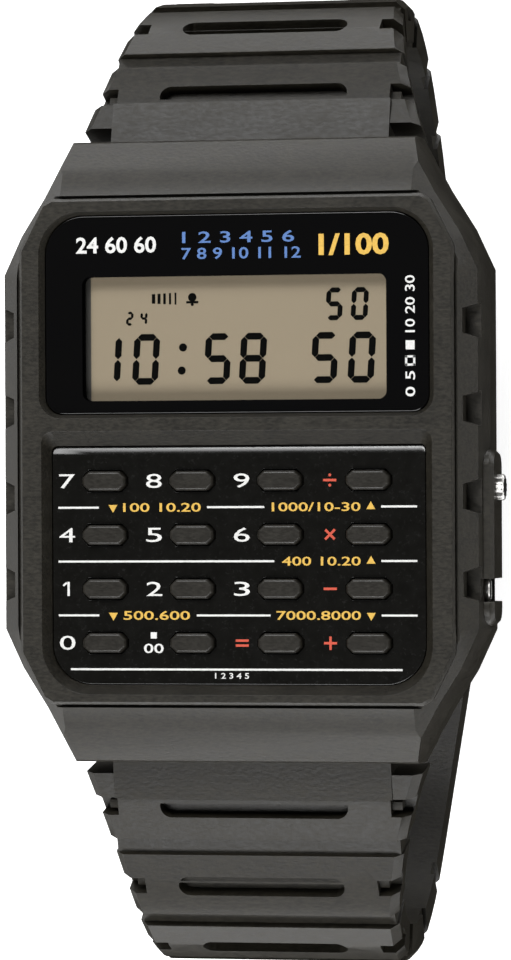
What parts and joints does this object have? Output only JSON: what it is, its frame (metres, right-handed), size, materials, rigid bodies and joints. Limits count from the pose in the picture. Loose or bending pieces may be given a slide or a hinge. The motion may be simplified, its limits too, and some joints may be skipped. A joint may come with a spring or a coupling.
{
  "type": "calculator watch",
  "caption": "Resin wristwatch with a display window, a calculator keypad, side buttons and a ribbed strap in two halves with a pin buckle.",
  "frame": {"origin": "middle of the outer, wrist side face of the case back", "axes": "+Z out of the watch face, +Y to 12 o'clock, +X to 3 o'clock, where the side buttons are"},
  "size_m": [0.0353, 0.0689, 0.0466],
  "materials": {
    "case_resin": "satin",
    "strap_resin": "satin",
    "lens": "polished",
    "panel": "satin",
    "keys": "satin",
    "rubber": "matte",
    "display": "satin",
    "foil": "satin",
    "board": "satin",
    "module_plastic": "matte",
    "steel": "brushed",
    "brass": "satin"
  },
  "bodies": {
    "case": {"case_body": "case_resin", "display_lens": "lens", "keypad_panel": "panel", "key_mat": "rubber", "lcd_glass": "display", "lcd_reflector": "foil", "contact_strips": "rubber", "circuit_board": "board", "clock_chip": "module_plastic", "quartz_can": "steel", "battery": "steel", "battery_clip": "steel", "module_frame": "module_plastic", "buzzer": "brass", "buzzer_spring": "steel", "case_gasket": "rubber", "case_back": "steel", "case_back_screws": "steel", "upper_spring_bar": "steel", "lower_spring_bar": "steel", "mode_spring": "steel", "adjust_spring": "steel"},
    "key_7": {"key_7": "keys"},
    "key_8": {"key_8": "keys"},
    "key_9": {"key_9": "keys"},
    "key_divide": {"key_divide": "keys"},
    "key_4": {"key_4": "keys"},
    "key_5": {"key_5": "keys"},
    "key_6": {"key_6": "keys"},
    "key_times": {"key_times": "keys"},
    "key_1": {"key_1": "keys"},
    "key_2": {"key_2": "keys"},
    "key_3": {"key_3": "keys"},
    "key_minus": {"key_minus": "keys"},
    "key_0": {"key_0": "keys"},
    "key_point": {"key_point": "keys"},
    "key_equals": {"key_equals": "keys"},
    "key_plus": {"key_plus": "keys"},
    "mode_pusher": {"mode_button": "steel", "mode_seal": "rubber", "mode_clip": "steel"},
    "adjust_pusher": {"adjust_button": "steel", "adjust_seal": "rubber", "adjust_clip": "steel"},
    "upper_band": {"upper_strap": "strap_resin", "buckle_bar": "steel"},
    "lower_band": {"lower_strap": "strap_resin"},
    "buckle": {"buckle_frame": "case_resin"},
    "tongue": {"buckle_tongue": "case_resin"},
    "keeper": {"strap_keeper": "strap_resin"}
  },
  "joints": [
    {"name": "key_7_press", "type": "slide", "parent": "case", "child": "key_7", "axis": [0, 0, -1], "range_m": [0, 0.00045], "stiffness_N_per_m": 1200, "springref_m": -0.0003},
    {"name": "key_8_press", "type": "slide", "parent": "case", "child": "key_8", "axis": [0, 0, -1], "range_m": [0, 0.00045], "stiffness_N_per_m": 1200, "springref_m": -0.0003},
    {"name": "key_9_press", "type": "slide", "parent": "case", "child": "key_9", "axis": [0, 0, -1], "range_m": [0, 0.00045], "stiffness_N_per_m": 1200, "springref_m": -0.0003},
    {"name": "key_divide_press", "type": "slide", "parent": "case", "child": "key_divide", "axis": [0, 0, -1], "range_m": [0, 0.00045], "stiffness_N_per_m": 1200, "springref_m": -0.0003},
    {"name": "key_4_press", "type": "slide", "parent": "case", "child": "key_4", "axis": [0, 0, -1], "range_m": [0, 0.00045], "stiffness_N_per_m": 1200, "springref_m": -0.0003},
    {"name": "key_5_press", "type": "slide", "parent": "case", "child": "key_5", "axis": [0, 0, -1], "range_m": [0, 0.00045], "stiffness_N_per_m": 1200, "springref_m": -0.0003},
    {"name": "key_6_press", "type": "slide", "parent": "case", "child": "key_6", "axis": [0, 0, -1], "range_m": [0, 0.00045], "stiffness_N_per_m": 1200, "springref_m": -0.0003},
    {"name": "key_times_press", "type": "slide", "parent": "case", "child": "key_times", "axis": [0, 0, -1], "range_m": [0, 0.00045], "stiffness_N_per_m": 1200, "springref_m": -0.0003},
    {"name": "key_1_press", "type": "slide", "parent": "case", "child": "key_1", "axis": [0, 0, -1], "range_m": [0, 0.00045], "stiffness_N_per_m": 1200, "springref_m": -0.0003},
    {"name": "key_2_press", "type": "slide", "parent": "case", "child": "key_2", "axis": [0, 0, -1], "range_m": [0, 0.00045], "stiffness_N_per_m": 1200, "springref_m": -0.0003},
    {"name": "key_3_press", "type": "slide", "parent": "case", "child": "key_3", "axis": [0, 0, -1], "range_m": [0, 0.00045], "stiffness_N_per_m": 1200, "springref_m": -0.0003},
    {"name": "key_minus_press", "type": "slide", "parent": "case", "child": "key_minus", "axis": [0, 0, -1], "range_m": [0, 0.00045], "stiffness_N_per_m": 1200, "springref_m": -0.0003},
    {"name": "key_0_press", "type": "slide", "parent": "case", "child": "key_0", "axis": [0, 0, -1], "range_m": [0, 0.00045], "stiffness_N_per_m": 1200, "springref_m": -0.0003},
    {"name": "key_point_press", "type": "slide", "parent": "case", "child": "key_point", "axis": [0, 0, -1], "range_m": [0, 0.00045], "stiffness_N_per_m": 1200, "springref_m": -0.0003},
    {"name": "key_equals_press", "type": "slide", "parent": "case", "child": "key_equals", "axis": [0, 0, -1], "range_m": [0, 0.00045], "stiffness_N_per_m": 1200, "springref_m": -0.0003},
    {"name": "key_plus_press", "type": "slide", "parent": "case", "child": "key_plus", "axis": [0, 0, -1], "range_m": [0, 0.00045], "stiffness_N_per_m": 1200, "springref_m": -0.0003},
    {"name": "mode_press", "type": "slide", "parent": "case", "child": "mode_pusher", "axis": [-1, 0, 0], "range_m": [0, 0.0006], "stiffness_N_per_m": 800, "springref_m": -0.0004, "deforming": ["mode_spring"]},
    {"name": "adjust_press", "type": "slide", "parent": "case", "child": "adjust_pusher", "axis": [-1, 0, 0], "range_m": [0, 0.0006], "stiffness_N_per_m": 800, "springref_m": -0.0004, "deforming": ["adjust_spring"]},
    {"name": "upper_band_hinge", "type": "hinge", "parent": "case", "child": "upper_band", "pos_m": [0, 0.0196, 0.002], "axis": [1, 0, 0], "range_deg": [0, 20]},
    {"name": "lower_band_hinge", "type": "hinge", "parent": "case", "child": "lower_band", "pos_m": [0, -0.0196, 0.002], "axis": [-1, 0, 0], "range_deg": [0, 20]},
    {"name": "buckle_hinge", "type": "hinge", "parent": "upper_band", "child": "buckle", "pos_m": [0, 0.00368, -0.02382], "axis": [-1, 0, 0], "range_deg": [0, 60]},
    {"name": "tongue_hinge", "type": "hinge", "parent": "buckle", "child": "tongue", "pos_m": [0, 0.00368, -0.02382], "axis": [1, 0, 0], "range_deg": [0, 85]},
    {"name": "keeper_slide", "type": "slide", "parent": "upper_band", "child": "keeper", "axis": [0, 1, 0], "range_m": [0, 0.003]}
  ]
}
